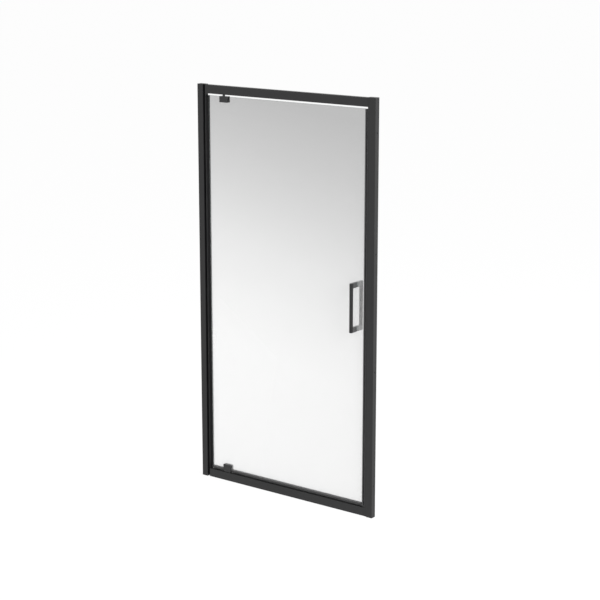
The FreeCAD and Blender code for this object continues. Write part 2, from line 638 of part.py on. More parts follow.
# Clip-on drip seal under the glass: two legs, a drip ledge on the outside, a front skirt
# and a fin that throws water inwards
def bottom_drip_seal():
    outer = GLASS_BACK + SEAL_WALL
    web = GLASS_BOTTOM - SEAL_WALL
    leg_top = GLASS_BOTTOM + DRIP_LEG
    fin_end = GLASS_BOTTOM - DRIP_FIN_REACH
    fin_root = outer - SEAL_WALL
    ledge_front = -outer - DRIP_LEDGE_REACH
    ledge_top = leg_top - DRIP_LEDGE_FALL
    outline = [
        (-outer, leg_top),
        (GLASS_FRONT, leg_top),
        (GLASS_FRONT, GLASS_BOTTOM),
        (GLASS_BACK, GLASS_BOTTOM),
        (GLASS_BACK, leg_top),
        (outer, leg_top),
        (outer, web),
        (fin_root + DRIP_FIN_LEAN, fin_end),
        (fin_root + DRIP_FIN_LEAN - DRIP_FIN_WALL, fin_end),
        (fin_root - DRIP_FIN_WALL, web),
        (GLASS_FRONT, web),
        (GLASS_FRONT, GLASS_BOTTOM - DRIP_SKIRT),
        (-outer, GLASS_BOTTOM - DRIP_SKIRT),
        (-outer, leg_top - DRIP_LEDGE_WALL),
        (ledge_front, ledge_top - DRIP_LEDGE_WALL),
        (ledge_front, ledge_top),
    ]
    half_hinge = HINGE_WIDTH / 2 + DRIP_END_GAP
    left_end = GLASS_LEFT + HINGE_SEAL_LEG + DRIP_END_GAP
    right_end = GLASS_RIGHT - MAGNET_PROFILE_LEG - DRIP_END_GAP
    short_length = lengthwise(outline, left_end, PIVOT_X - half_hinge)
    long_length = lengthwise(outline, PIVOT_X + half_hinge, right_end)
    return Part.makeCompound([short_length, long_length])


def slot_anchor(bottom, top):
    """The foot of a strip that is pushed into the stile's undercut slot."""
    neck_x = STILE_FACE_X - SLOT_MOUTH_DEPTH
    half_foot = SLOT_WIDTH / 2 - MAGNET_CLEARANCE
    half_neck = SLOT_MOUTH_WIDTH / 2 - MAGNET_CLEARANCE
    foot_x = (neck_x - SLOT_DEPTH + MAGNET_CLEARANCE, neck_x - MAGNET_CLEARANCE)
    foot = block(foot_x, (-half_foot, half_foot), (bottom, top))
    return foot.fuse(block((foot_x[1], STILE_FACE_X), (-half_neck, half_neck), (bottom, top)))


# Hollow bulb seal in the hinge-side stile
def hinge_side_bulb_seal():
    bottom = SILL_TOP + SEAL_END_GAP
    top = HEADER_BOTTOM - SEAL_END_GAP

    def bulb(height, width):
        ends = (Vector(STILE_FACE_X, -width / 2, bottom), Vector(STILE_FACE_X, width / 2, bottom))
        crown = Part.Arc(ends[0], Vector(STILE_FACE_X + height, 0, bottom), ends[1]).toShape()
        base = Part.makeLine(ends[1], ends[0])
        return Part.Face(Part.Wire([crown, base])).extrude(Z_AXIS * (top - bottom))

    hollow = bulb(BULB_HEIGHT - BULB_WALL - BULB_FLOOR, BULB_WIDTH - 3 * BULB_WALL)
    hollow.translate(X_AXIS * BULB_FLOOR)
    return slot_anchor(bottom, top).fuse(bulb(BULB_HEIGHT, BULB_WIDTH)).removeSplitter().cut(hollow)


# Magnetic strip in the closing-side stile, opposite the leaf's own magnet
def frame_magnet_strip():
    bottom = SILL_TOP + SEAL_END_GAP
    top = HEADER_BOTTOM - SEAL_END_GAP
    half = STRIKE_WIDTH / 2
    face = block((STILE_FACE_X, STILE_FACE_X + STRIKE_HEIGHT), (-half, half), (bottom, top))
    return mirrored(slot_anchor(bottom, top).fuse(face).removeSplitter())


# Outer pull handle: a C cut from one flat bar, with a blind hole for a stud in each post
def outer_handle():
    front = POST_BASE - HANDLE_PROJECTION
    low = HANDLE_CENTRE_HEIGHT - HANDLE_HEIGHT / 2
    high = HANDLE_CENTRE_HEIGHT + HANDLE_HEIGHT / 2
    half = HANDLE_WIDTH / 2
    blank = block((HANDLE_X - half, HANDLE_X + half), (front, POST_BASE), (low, high))
    grip_y = (front + HANDLE_BAR, POST_BASE + HANDLE_INNER_ROUND)
    grip = block((HANDLE_X - half, HANDLE_X + half), grip_y, (low + HANDLE_POST, high - HANDLE_POST))
    inner_corners = [
        e
        for e in grip.Edges
        if runs_along(e, X_AXIS)
        and e.CenterOfMass.y < front + HANDLE_BAR + HANDLE_INNER_ROUND
    ]
    grip = grip.makeFillet(HANDLE_INNER_ROUND, inner_corners)
    handle = blank.cut(grip)
    base_edges = [e for e in handle.Edges if abs(e.CenterOfMass.y - POST_BASE) < FIT_CLEARANCE]
    base_codes = [e.hashCode() for e in base_edges]
    eased_edges = [e for e in handle.Edges if e.hashCode() not in base_codes]
    handle = handle.makeFillet(HANDLE_ROUND, eased_edges)
    for z in POST_HEIGHTS:
        base = Vector(HANDLE_X, POST_BASE, z)
        blind_end = base - Y_AXIS * (STUD_DEPTH + PIN_END_GAP)
        handle = handle.cut(rod(STUD_RADIUS + FIT_CLEARANCE, blind_end, base))
    return handle


def inner_handle():
    return outer_handle().mirror(Vector(0, 0, 0), Y_AXIS)


# Through fixing of the handles: threaded studs, sleeves in the glass and soft washers on both faces
def handle_studs():
    reach = Y_AXIS * (STUD_DEPTH - POST_BASE)
    places = [Vector(HANDLE_X, 0, z) for z in POST_HEIGHTS]
    return Part.makeCompound([rod(STUD_RADIUS, place - reach, place + reach) for place in places])


def handle_sleeves():
    sleeves = []
    for z in POST_HEIGHTS:
        front, back = Vector(HANDLE_X, GLASS_FRONT, z), Vector(HANDLE_X, GLASS_BACK, z)
        tube = rod(SLEEVE_RADIUS - FIT_CLEARANCE, front, back)
        sleeves.append(tube.cut(rod(STUD_RADIUS + FIT_CLEARANCE, front, back)))
    return Part.makeCompound(sleeves)


def handle_washers():
    washers = []
    for z in POST_HEIGHTS:
        for y in (POST_BASE, GLASS_BACK):
            start = Vector(HANDLE_X, y, z)
            end = start + Y_AXIS * WASHER_THICKNESS
            washers.append(rod(WASHER_RADIUS, start, end).cut(rod(STUD_RADIUS + FIT_CLEARANCE, start, end)))
    return Part.makeCompound(washers)


# All pieces of the door, by name
left_channel = wall_profile()
left_lid = wall_cap()
locking_screws, locking_covers = adjusting_fixings()
nodes = {
    "left_wall_profile": left_channel,
    "right_wall_profile": mirrored(left_channel),
    "left_stile": stile(grooved=True),
    "right_stile": mirrored(stile(grooved=False)),
    "left_wall_cap": left_lid,
    "right_wall_cap": mirrored(left_lid),
    "header_rail": header_rail(),
    "sill_rail": sill_rail(),
    "frame_corner_screws": frame_corner_screws(),
    "adjusting_screws": locking_screws,
    "adjusting_screw_caps": locking_covers,
    "header_pivot_bush": pivot_bush(carries_leaf=False),
    "sill_pivot_bush": flipped(pivot_bush(carries_leaf=True)),
    "hinge_side_bulb_seal": hinge_side_bulb_seal(),
    "frame_magnet_strip": frame_magnet_strip(),
    "glass_panel": glass_panel(),
    "top_hinge_body": hinge_body(),
    "top_hinge_back_plate": hinge_back_plate(),
    "bottom_hinge_body": flipped(hinge_body()),
    "bottom_hinge_back_plate": flipped(hinge_back_plate()),
    "hinge_gaskets": hinge_gaskets(),
    "hinge_clamp_screws": hinge_clamp_screws(),
    "top_pivot_pin": pivot_pin(),
    "bottom_pivot_pin": flipped(pivot_pin()),
    "hinge_edge_seal": hinge_edge_seal(),
    "magnet_edge_profile": magnet_edge_profile(),
    "door_magnet_strip": door_magnet_strip(),
    "bottom_drip_seal": bottom_drip_seal(),
    "outer_handle": outer_handle(),
    "inner_handle": inner_handle(),
    "handle_studs": handle_studs(),
    "handle_sleeves": handle_sleeves(),
    "handle_washers": handle_washers(),
}

os.makedirs("parts", exist_ok=True)
for name, shape in nodes.items():
    shape.exportStep(f"parts/{name}.step")
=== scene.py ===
import math

import bpy
import numpy as np
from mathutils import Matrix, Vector
from mathutils.geometry import delaunay_2d_cdt


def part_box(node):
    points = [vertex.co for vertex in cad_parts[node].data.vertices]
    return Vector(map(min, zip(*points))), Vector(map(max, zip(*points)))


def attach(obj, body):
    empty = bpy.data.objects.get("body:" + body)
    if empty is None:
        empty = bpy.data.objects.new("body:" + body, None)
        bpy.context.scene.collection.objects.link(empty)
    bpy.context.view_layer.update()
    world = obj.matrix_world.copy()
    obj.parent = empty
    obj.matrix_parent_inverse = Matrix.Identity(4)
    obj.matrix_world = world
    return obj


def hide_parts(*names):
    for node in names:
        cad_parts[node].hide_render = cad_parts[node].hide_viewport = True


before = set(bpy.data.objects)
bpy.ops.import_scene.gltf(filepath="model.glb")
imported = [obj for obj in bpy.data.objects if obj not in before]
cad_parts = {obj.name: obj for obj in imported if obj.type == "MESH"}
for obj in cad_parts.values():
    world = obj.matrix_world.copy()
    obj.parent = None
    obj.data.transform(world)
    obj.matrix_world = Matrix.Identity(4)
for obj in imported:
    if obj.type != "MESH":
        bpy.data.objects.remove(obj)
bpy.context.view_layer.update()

# Wall channels: two U-shaped aluminium extrusions that are screwed to the walls of the alcove.
# They are powder coated matt black after cutting, so the coat runs over the cut ends as well.
# The coat is a thin, slightly pebbled skin with a low sheen that varies over hand-sized areas.
MM = 0.001
POWDER_BLACK = (0.0060, 0.0060, 0.0064, 1.0)
POWDER_WORN = (0.0100, 0.0100, 0.0105, 1.0)
CHANNEL_ROUGH = 0.46
COAT_GRAIN = 1.1 * MM
COAT_DEPTH = 0.03 * MM
COAT_BUMP = 0.35
COAT_SPECULAR = 0.42
COAT_PATCH = 90.0 * MM
PATCH_SHEEN = 0.10
GRAIN_SHEEN = 0.08
PATCH_DETAIL = 3.0
GRAIN_DETAIL = 2.0
NOISE_MIDDLE = 0.5


class Signal:
    """A node socket; arithmetic on it adds Math nodes, and make() adds any other node."""

    def __init__(self, tree, socket):
        self.tree = tree
        self.socket = socket

    def make(self, kind, settings, inputs, output=0):
        """Adds a node, with its settings set first and then its sockets' values or links."""
        node = self.tree.nodes.new(kind)
        for name, value in settings.items():
            if name == "stops":
                marks = node.color_ramp.elements
                marks[0].position, marks[0].color = value[0]
                marks[1].position, marks[1].color = value[-1]
                for place, colour in value[1:-1]:
                    marks.new(place).color = colour
            else:
                setattr(node, name, value)
        for name, value in inputs.items():
            if isinstance(value, Signal):
                self.tree.links.new(value.socket, node.inputs[name])
            else:
                node.inputs[name].default_value = value
        return Signal(self.tree, node.outputs[output])

    def math(self, operation, first, second):
        return self.make("ShaderNodeMath", {"operation": operation}, {0: first, 1: second})

    def __add__(self, other):
        return self.math("ADD", self, other)

    def __radd__(self, other):
        return self.math("ADD", other, self)

    def __sub__(self, other):
        return self.math("SUBTRACT", self, other)

    def __rsub__(self, other):
        return self.math("SUBTRACT", other, self)

    def __mul__(self, other):
        return self.math("MULTIPLY", self, other)

    def __rmul__(self, other):
        return self.math("MULTIPLY", other, self)

    def __abs__(self):
        return self.math("ABSOLUTE", self, 0.0)

    def __lt__(self, other):
        """1 where this value is less than the other, and 0 elsewhere."""
        return self.math("LESS_THAN", self, other)

    def clamped(self):
        """This value, held between 0 and 1."""
        return self.math("MAXIMUM", self.math("MINIMUM", self, 1.0), 0.0)

    def axis(self, letter):
        """One of the three values of this vector."""
        return self.make("ShaderNodeSeparateXYZ", {}, {"Vector": self}, letter)

    def tint(self, low, high):
        """A colour that goes from low to high as this value goes from 0 to 1."""
        settings = {"data_type": "RGBA"}
        return self.make("ShaderNodeMix", settings, {0: self, 6: low, 7: high}, 2)

    def noise(self, size, detail, stretch=(1, 1, 1)):
        """Noise over this place, in patches of about a size in metres, drawn out along an axis."""
        scale = tuple(1.0 / (size * s) for s in stretch)
        spread = self.make("ShaderNodeMapping", {}, {"Vector": self, "Scale": scale})
        inputs = {"Vector": spread, "Scale": 1.0, "Detail": detail}
        return self.make("ShaderNodeTexNoise", {"noise_dimensions": "3D"}, inputs)

    def bump(self, strength, height):
        """A surface normal from this value taken as a height, in metres for a value of 1."""
        inputs = {"Height": self, "Strength": strength, "Distance": height}
        return self.make("ShaderNodeBump", {}, inputs)


def new_finish(name):
    """An empty material, with the place on the surface and its output node."""
    material = bpy.data.materials.new(name)
    material.use_nodes = True
    tree = material.node_tree
    tree.nodes.clear()
    output = tree.nodes.new("ShaderNodeOutputMaterial")
    coordinates = tree.nodes.new("ShaderNodeTexCoord")
    return material, Signal(tree, coordinates.outputs["Object"]), output


def close_finish(material, shader, output):
    """Links the shader to the output and hands the material back."""
    shader.tree.links.new(shader.socket, output.inputs["Surface"])
    return material


def coated_finish(name, dark, worn, rough, grain, depth):
    """Paint on metal: broad patches change the tone and sheen, and a fine grain gives the pebbled skin."""
    material, place, output = new_finish(name)
    patches = place.noise(COAT_PATCH, PATCH_DETAIL)
    skin = place.noise(grain, GRAIN_DETAIL)
    sheen = rough + PATCH_SHEEN * (patches - NOISE_MIDDLE) + GRAIN_SHEEN * (skin - NOISE_MIDDLE)
    settings = {"distribution": "MULTI_GGX"}
    inputs = {
        "Base Color": patches.tint(dark, worn),
        "Roughness": sheen,
        "Normal": skin.bump(COAT_BUMP, depth),
        "Specular IOR Level": COAT_SPECULAR,
    }
    return close_finish(material, place.make("ShaderNodeBsdfPrincipled", settings, inputs), output)


def dress(material, *names):
    """Gives CAD nodes their finish."""
    for name in names:
        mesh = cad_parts[name].data
        mesh.materials.clear()
        mesh.materials.append(material)


channel_coat = coated_finish(
    "matt_black_channel", POWDER_BLACK, POWDER_WORN, CHANNEL_ROUGH, COAT_GRAIN, COAT_DEPTH
)
dress(channel_coat, "left_wall_profile", "right_wall_profile")

# Stiles: hollow extrusions that slide in the channels and take up walls that are out of true.
# They have the channels' coat, from another batch on the same line.
STILE_ROUGH = 0.44
stile_coat = coated_finish(
    "matt_black_stile", POWDER_BLACK, POWDER_WORN, STILE_ROUGH, COAT_GRAIN, COAT_DEPTH
)
dress(stile_coat, "left_stile", "right_stile")

# Header and sill: two-chamber extrusions screwed between the stiles, coated with them.
# The sill's deck is walked over and rinsed, so its coat is a touch smoother.
RAIL_ROUGH = 0.42
rail_coat = coated_finish("matt_black_rail", POWDER_BLACK, POWDER_WORN, RAIL_ROUGH, COAT_GRAIN, COAT_DEPTH)
dress(rail_coat, "header_rail", "sill_rail")

# Jamb caps: injection-moulded lids that plug the tops of the jambs, in black nylon.
# The mould is spark eroded, which leaves a fine even stipple.
MOULDED_BLACK = (0.014, 0.014, 0.0145, 1.0)
MOULDED_PALE = (0.020, 0.020, 0.0205, 1.0)
MOULDED_ROUGH = 0.55
STIPPLE = 0.6 * MM
STIPPLE_DEPTH = 0.04 * MM
moulded_cap = coated_finish(
    "black_nylon", MOULDED_BLACK, MOULDED_PALE, MOULDED_ROUGH, STIPPLE, STIPPLE_DEPTH
)
dress(moulded_cap, "left_wall_cap", "right_wall_cap")

# Frame fasteners: self-tapping screws of zinc-plated steel, two at each corner of the frame,
# and six locking screws on the shower side under snap-on black covers.
ZINC = (0.56, 0.57, 0.58, 1.0)
ZINC_DULL = (0.40, 0.41, 0.42, 1.0)
ZINC_ROUGH = 0.34
ZINC_GRAIN = 0.5 * MM
EVEN_GRAIN = (1, 1, 1)
METAL_CLOUD = 12.0 * MM
METAL_SHEEN = 0.16
METAL_BUMP = 0.25
METAL_SCRATCH = 0.01 * MM


def metal_finish(name, bright, dull, rough, grain, stretch):
    """Bare metal: fine lines drawn out along the way it was worked, and a cloudy dullness."""
    material, place, output = new_finish(name)
    clouds = place.noise(METAL_CLOUD, PATCH_DETAIL)
    lines = place.noise(grain, GRAIN_DETAIL, stretch)
    inputs = {
        "Base Color": clouds.tint(bright, dull),
        "Metallic": 1.0,
        "Roughness": rough + METAL_SHEEN * (lines - NOISE_MIDDLE),
        "Normal": lines.bump(METAL_BUMP, METAL_SCRATCH),
    }
    return close_finish(material, place.make("ShaderNodeBsdfPrincipled", {}, inputs), output)


zinc_plate = metal_finish("zinc_plated_steel", ZINC, ZINC_DULL, ZINC_ROUGH, ZINC_GRAIN, EVEN_GRAIN)
dress(zinc_plate, "frame_corner_screws", "adjusting_screws")
dress(moulded_cap, "adjusting_screw_caps")

# Pivot bushes: flanged bearings of black acetal, pressed into the header and the sill.
# The sill's has a broad block on top that carries the leaf.
# Machining leaves fine marks, which read as a dull, waxy sheen.
ACETAL = (0.020, 0.020, 0.021, 1.0)
ACETAL_PALE = (0.028, 0.028, 0.029, 1.0)
ACETAL_ROUGH = 0.38
TOOL_MARK = 0.35 * MM
TOOL_MARK_DEPTH = 0.01 * MM
acetal = coated_finish("turned_black_acetal", ACETAL, ACETAL_PALE, ACETAL_ROUGH, TOOL_MARK, TOOL_MARK_DEPTH)
dress(acetal, "header_pivot_bush", "sill_pivot_bush")

# Bulb seal of the hinge side: a hollow rubber D on a barbed foot, extruded in one length.
# It is pushed into the left stile's undercut slot along its whole height.
SEAL_BLACK = (0.0085, 0.0085, 0.0088, 1.0)
SEAL_CHALKY = (0.0150, 0.0150, 0.0152, 1.0)
RUBBER_ROUGH = 0.52
SEAL_SPECULAR = 0.36
BLOOM_PATCH = 30.0 * MM
BLOOM_SHARE = 0.6
BLOOM_SHEEN = 0.12
DIE_LINE = 0.5 * MM
DIE_LINE_DEPTH = 0.02 * MM
DIE_LINE_BUMP = 0.30
DIE_LINE_SHEEN = 0.10
UPRIGHT_DIE_LINES = (1, 1, 160)
LEVEL_DIE_LINES = (160, 1, 1)
ACROSS_X = (1.0, 0.0, 0.0)
ACROSS_Y = (0.0, 1.0, 0.0)
UPRIGHT = (0.0, 0.0, 1.0)
BULB_HALF = 3.0 * MM
BULB_WALL = 0.8 * MM
BULB_SIDE_WALL = 1.2 * MM
BULB_FLOOR = 0.4 * MM
BULB_POINTS = 25
FOOT_NECK = 1.3 * MM
FOOT_NECK_HALF = 1.4 * MM
FOOT_HALF = 2.6 * MM
FOOT_LEAD = 0.9 * MM
SEAL_STEPS = 25
CORNER_STEPS = 5
CORNER_SHARE = 0.42
HOLD = 0.12 * MM
HOLD_SHARE = 0.05
NET_MERGE = 1e-6
SLIVER = 1e-13
SHARP_TURN = math.radians(35.0)


def rounded_outline(corners, radius):
    """A closed outline whose corners are eased: each corner P becomes the curve
    (1-t)^2 S + 2t(1-t) P + t^2 E between points S and E on its two sides, with a short hold
    beyond each end so that the flats stay flat when shaded."""
    points = np.asarray(corners, float)
    before = np.roll(points, 1, axis=0) - points
    after = np.roll(points, -1, axis=0) - points
    room_before = np.linalg.norm(before, axis=1, keepdims=True)
    room_after = np.linalg.norm(after, axis=1, keepdims=True)
    start = points + before / room_before * np.minimum(radius, CORNER_SHARE * room_before)
    end = points + after / room_after * np.minimum(radius, CORNER_SHARE * room_after)
    t = np.linspace(0, 1, CORNER_STEPS)[None, :, None]
    curve = (1 - t) ** 2 * start[:, None] + 2 * t * (1 - t) * points[:, None] + t ** 2 * end[:, None]
    lead = start + before / room_before * np.minimum(HOLD, HOLD_SHARE * room_before)
    trail = end + after / room_after * np.minimum(HOLD, HOLD_SHARE * room_after)
    return np.concatenate([lead[:, None], curve, trail[:, None]], axis=1).reshape(-1, 2)


def end_fill(loops):
    """Triangles that close the end of a profile: a Delaunay net of all its points, less those triangles
    whose middles lie outside it or in a hollow, which a line to the right tells by an even count of sides,
    and less the slivers along its straight sides."""
    points = np.concatenate(loops)
    index = np.split(np.arange(len(points)), np.cumsum([len(loop) for loop in loops])[:-1])
    sides = np.concatenate([np.stack([ring, np.roll(ring, -1)], axis=1) for ring in index])
    spots = [Vector(spot) for spot in (points - points.mean(axis=0)) / MM]
    net = delaunay_2d_cdt(spots, sides.tolist(), [], 0, NET_MERGE)
    fill = np.array([sources[0] for sources in net[3]])[np.array(net[2])]
    middle = points[fill].mean(axis=1)[:, None]
    start, end = points[sides[:, 0]], points[sides[:, 1]]
    rise = end[:, 1] - start[:, 1]
    slope = (end[:, 0] - start[:, 0]) / np.where(rise == 0, 1.0, rise)
    spans = (start[:, 1] > middle[..., 1]) != (end[:, 1] > middle[..., 1])
    ahead = start[:, 0] + (middle[..., 1] - start[:, 1]) * slope > middle[..., 0]
    first, second = (points[fill[:, corner]] - points[fill[:, 0]] for corner in (1, 2))
    broad = np.abs(first[:, 0] * second[:, 1] - first[:, 1] * second[:, 0]) > SLIVER
    return fill[broad & ((spans & ahead).sum(axis=1) % 2 == 1)]


def carried_strip(loops, stations, across, up, along):
    """A profile carried along a straight run: the point (s, t) is
    across * loop_a(s) + up * loop_b(s) + along * station(t). The first loop is the outside, the
    others are hollows, and both ends are closed by triangles that fill the space between them."""
    handed = np.dot(np.cross(across, up), along)
    turned = []
    for order, loop in enumerate(loops):
        loop = np.asarray(loop, float)
        ahead = np.roll(loop, -1, axis=0)
        area = np.sum(loop[:, 0] * ahead[:, 1] - loop[:, 1] * ahead[:, 0])
        wanted = handed if order == 0 else -handed
        turned.append(loop if area * wanted > 0 else loop[::-1])
    section = np.concatenate(turned)
    ring = section[:, :1] * np.asarray(across, float) + section[:, 1:] * np.asarray(up, float)
    stations = np.asarray(stations, float)
    places = ring[None] + stations[:, None, None] * np.asarray(along, float)
    index = np.arange(len(stations) * len(section)).reshape(len(stations), len(section))
    faces = []
    first = 0
    for loop in turned:
        low = index[:-1, first:first + len(loop)]
        high = index[1:, first:first + len(loop)]
        sides = np.stack([low, np.roll(low, -1, axis=1), np.roll(high, -1, axis=1), high], axis=-1)
        faces.append(sides.reshape(-1, 4))
        first += len(loop)
    fill = end_fill(turned)
    corners = section[fill]
    span = corners[:, 1] - corners[:, 0]
    rise = corners[:, 2] - corners[:, 0]
    backwards = (span[:, 0] * rise[:, 1] - span[:, 1] * rise[:, 0]) * handed < 0
    fill[backwards] = fill[backwards][:, ::-1]
    return places.reshape(-1, 3), faces + [index[0][fill[:, ::-1]], index[-1][fill]]


def joined(*shells):
    """Several shells as one: all their points, and their faces' numbers moved on by the points before."""
    starts = np.cumsum([0] + [len(places) for places, faces in shells])
    moved = [grid + start for start, (places, faces) in zip(starts, shells) for grid in faces]
    return np.concatenate([places for places, faces in shells]), moved


def make_piece(name, shell, material, body, slot, *stands_for):
    """A mesh object at the origin that rides on a body and stands for CAD nodes."""
    places, faces = shell
    mesh = bpy.data.meshes.new(name)
    mesh.from_pydata(places.tolist(), [], [face for grid in faces for face in grid.tolist()])
    mesh.polygons.foreach_set("use_smooth", np.ones(len(mesh.polygons), bool))
    mesh.set_sharp_from_angle(angle=SHARP_TURN)
    mesh.materials.append(material)
    piece = bpy.data.objects.new(name, mesh)
    bpy.context.scene.collection.objects.link(piece)
    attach(piece, body)
    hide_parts(*stands_for)


def seal_finish(name, dark, pale, rough, stretch):
    """Extruded rubber or PVC: die lines drawn out along the run, and a faint chalky bloom."""
    material, place, output = new_finish(name)
    bloom = place.noise(BLOOM_PATCH, PATCH_DETAIL)
    lines = place.noise(DIE_LINE, GRAIN_DETAIL, stretch)
    sheen = rough + BLOOM_SHEEN * (bloom - NOISE_MIDDLE) + DIE_LINE_SHEEN * (lines - NOISE_MIDDLE)
    inputs = {
        "Base Color": (BLOOM_SHARE * bloom + (1.0 - BLOOM_SHARE) * lines).tint(dark, pale),
        "Roughness": sheen,
        "Normal": lines.bump(DIE_LINE_BUMP, DIE_LINE_DEPTH),
        "Specular IOR Level": SEAL_SPECULAR,
    }
    return close_finish(material, place.make("ShaderNodeBsdfPrincipled", {}, inputs), output)


def slot_foot(face, into, tip):
    """The foot of a strip that is pushed into a stile's undercut slot: a neck and a barbed bead,
    listed from the shower side round the tip to the outside."""
    shoulder = face + into * FOOT_NECK
    inside = np.array([
        (face, FOOT_NECK_HALF),
        (shoulder, FOOT_NECK_HALF),
        (shoulder, FOOT_HALF),
        (tip - into * FOOT_LEAD, FOOT_HALF),
        (tip, FOOT_HALF - FOOT_LEAD),
    ])
    outside = inside[::-1] * [1.0, -1.0]
    return np.concatenate([inside, outside])


def bulb_arc(crown, half, back):
    """Half an oval: back + crown * cos(turn) across, half * sin(turn) deep, from -90 to 90 degrees."""
    turn = np.linspace(-math.pi / 2, math.pi / 2, BULB_POINTS)
    return np.stack([back + crown * np.cos(turn), half * np.sin(turn)], axis=1)


upright_rubber = seal_finish(
    "black_rubber_upright", SEAL_BLACK, SEAL_CHALKY, RUBBER_ROUGH, UPRIGHT_DIE_LINES
)
bulb_low, bulb_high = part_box("hinge_side_bulb_seal")
stile_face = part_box("left_stile")[1].x
bulb_crown = bulb_high.x - stile_face
bulb_foot = slot_foot(stile_face, -1.0, bulb_low.x)
bulb_skin = np.concatenate([bulb_arc(bulb_crown, BULB_HALF, stile_face), bulb_foot])
hollow_crown = bulb_crown - BULB_WALL - BULB_FLOOR
bulb_hollow = bulb_arc(hollow_crown, BULB_HALF - BULB_SIDE_WALL, stile_face + BULB_FLOOR)
bulb_run = np.linspace(bulb_low.z, bulb_high.z, SEAL_STEPS)
bulb_strip = carried_strip([bulb_skin, bulb_hollow], bulb_run, ACROSS_X, ACROSS_Y, UPRIGHT)
make_piece("bulb_seal", bulb_strip, upright_rubber, "frame", "soft_seal", "hinge_side_bulb_seal")

# Magnetic strip of the closing side: ferrite powder bound in rubber, in a thin black jacket.
# It is pushed into the right stile's slot and faces the magnet on the leaf.
MAGNET_DARK = (0.020, 0.018, 0.017, 1.0)
MAGNET_PALE = (0.034, 0.031, 0.029, 1.0)
MAGNET_ROUGH = 0.60
STRIKE_HALF = 4.0 * MM
STRIKE_EASE = 0.4 * MM
magnet_rubber = seal_finish("ferrite_rubber", MAGNET_DARK, MAGNET_PALE, MAGNET_ROUGH, UPRIGHT_DIE_LINES)
strike_low, strike_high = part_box("frame_magnet_strip")
strike_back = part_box("right_stile")[0].x
strike_face = [
    (strike_back, -STRIKE_HALF),
    (strike_low.x, -STRIKE_HALF),
    (strike_low.x, STRIKE_HALF),
    (strike_back, STRIKE_HALF),
]
strike_corners = np.concatenate([strike_face, slot_foot(strike_back, 1.0, strike_high.x)])
strike_run = np.linspace(strike_low.z, strike_high.z, SEAL_STEPS)
strike_outline = rounded_outline(strike_corners, STRIKE_EASE)
strike_strip = carried_strip([strike_outline], strike_run, ACROSS_X, ACROSS_Y, UPRIGHT)
make_piece("strike_magnet", strike_strip, magnet_rubber, "frame", "magnet", "frame_magnet_strip")

# Glass leaf: one pane of 6 mm toughened glass, notched for the hinges and drilled for the handles.
# Its faces carry a painted reflection of the white studio: a soft tone, grey above and white below, that
# leans a little to one side.
# Its ground edges are green-grey.
PAINTED_REFLECTION_STOPS = (
    (0.0, 0.72), (0.33, 0.74), (0.47, 0.665), (0.60, 0.55), (0.73, 0.37), (0.86, 0.20), (1.0, 0.04)
)
REFLECTION_LEAN = 0.165
REFLECTION_SIDE_FADE = 0.24
GLASS_EDGE_TONE = (0.16, 0.24, 0.22, 1.0)
GLASS_FACE_COVER = 0.305
GLASS_EDGE_COVER = 0.85
GLASS_ROUGH = 0.02
GLASS_SPECULAR = 0.5
SMEAR_PATCH = 50.0 * MM
SMEAR_ROUGH = 0.03
GROUND_ROUGH = 0.25
FACE_TURN = 0.8
pane_low, pane_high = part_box("glass_panel")
pane_middle = (pane_low.x + pane_high.x) / 2
pane_height = pane_high.z - pane_low.z


def pane_finish():
    """Clear glass whose faces carry a painted reflection: a tone that follows height + lean * side in the
    pane and fades by 1 - fade * side.
    The edges are told by a normal that has little of Y."""
    material, place, output = new_finish("toughened_glass")
    side = place.axis("X") - pane_middle
    level = ((place.axis("Z") + REFLECTION_LEAN * side - pane_low.z) * (1.0 / pane_height)).clamped()
    stops = [(mark, (tone, tone, tone, 1.0)) for mark, tone in PAINTED_REFLECTION_STOPS]
    # Painted reflection: the ramp's grey above and white below stands in for the mirrored studio.
    ramp = place.make("ShaderNodeValToRGB", {"stops": stops}, {"Fac": level})
    painted_reflection = ramp * (1.0 - REFLECTION_SIDE_FADE * side)
    facing = place.make("ShaderNodeTexCoord", {}, {}, "Normal")
    edge = abs(facing.axis("Y")) < FACE_TURN
    smears = place.noise(SMEAR_PATCH, GRAIN_DETAIL)
    inputs = {
        "Base Color": edge.tint(painted_reflection, GLASS_EDGE_TONE),
        "Roughness": GLASS_ROUGH + SMEAR_ROUGH * smears + GROUND_ROUGH * edge,
        "Alpha": GLASS_FACE_COVER + (GLASS_EDGE_COVER - GLASS_FACE_COVER) * edge,
        "Specular IOR Level": GLASS_SPECULAR,
    }
    return close_finish(material, place.make("ShaderNodeBsdfPrincipled", {}, inputs), output)


dress(pane_finish(), "glass_panel")

# Pivot hinges: two zinc castings clamped on the glass, front body and back plate.
# They are tumbled and coated black, with a finer skin than the extrusions.
HINGE_BLACK = (0.0100, 0.0100, 0.0105, 1.0)
HINGE_WORN = (0.0150, 0.0150, 0.0155, 1.0)
HINGE_ROUGH = 0.30
HINGE_GRAIN = 0.7 * MM
HINGE_DEPTH = 0.01 * MM
hinge_coat = coated_finish(
    "fine_black_hinge_coat", HINGE_BLACK, HINGE_WORN, HINGE_ROUGH, HINGE_GRAIN, HINGE_DEPTH
)
dress(hinge_coat, "top_hinge_body", "top_hinge_back_plate", "bottom_hinge_body", "bottom_hinge_back_plate")

# Hinge gaskets: die-cut sheets of black rubber that keep the castings off the glass.
# Each is a U round the notch, with its corners eased by the knife.
GASKET_THICKNESS = 1.0 * MM
NOTCH_HALF = 13.0 * MM
NOTCH_DEPTH = 18.0 * MM
GASKET_EASE = 1.0 * MM
gasket_low, gasket_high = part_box("hinge_gaskets")
gasket_middle = (gasket_low.x + gasket_high.x) / 2


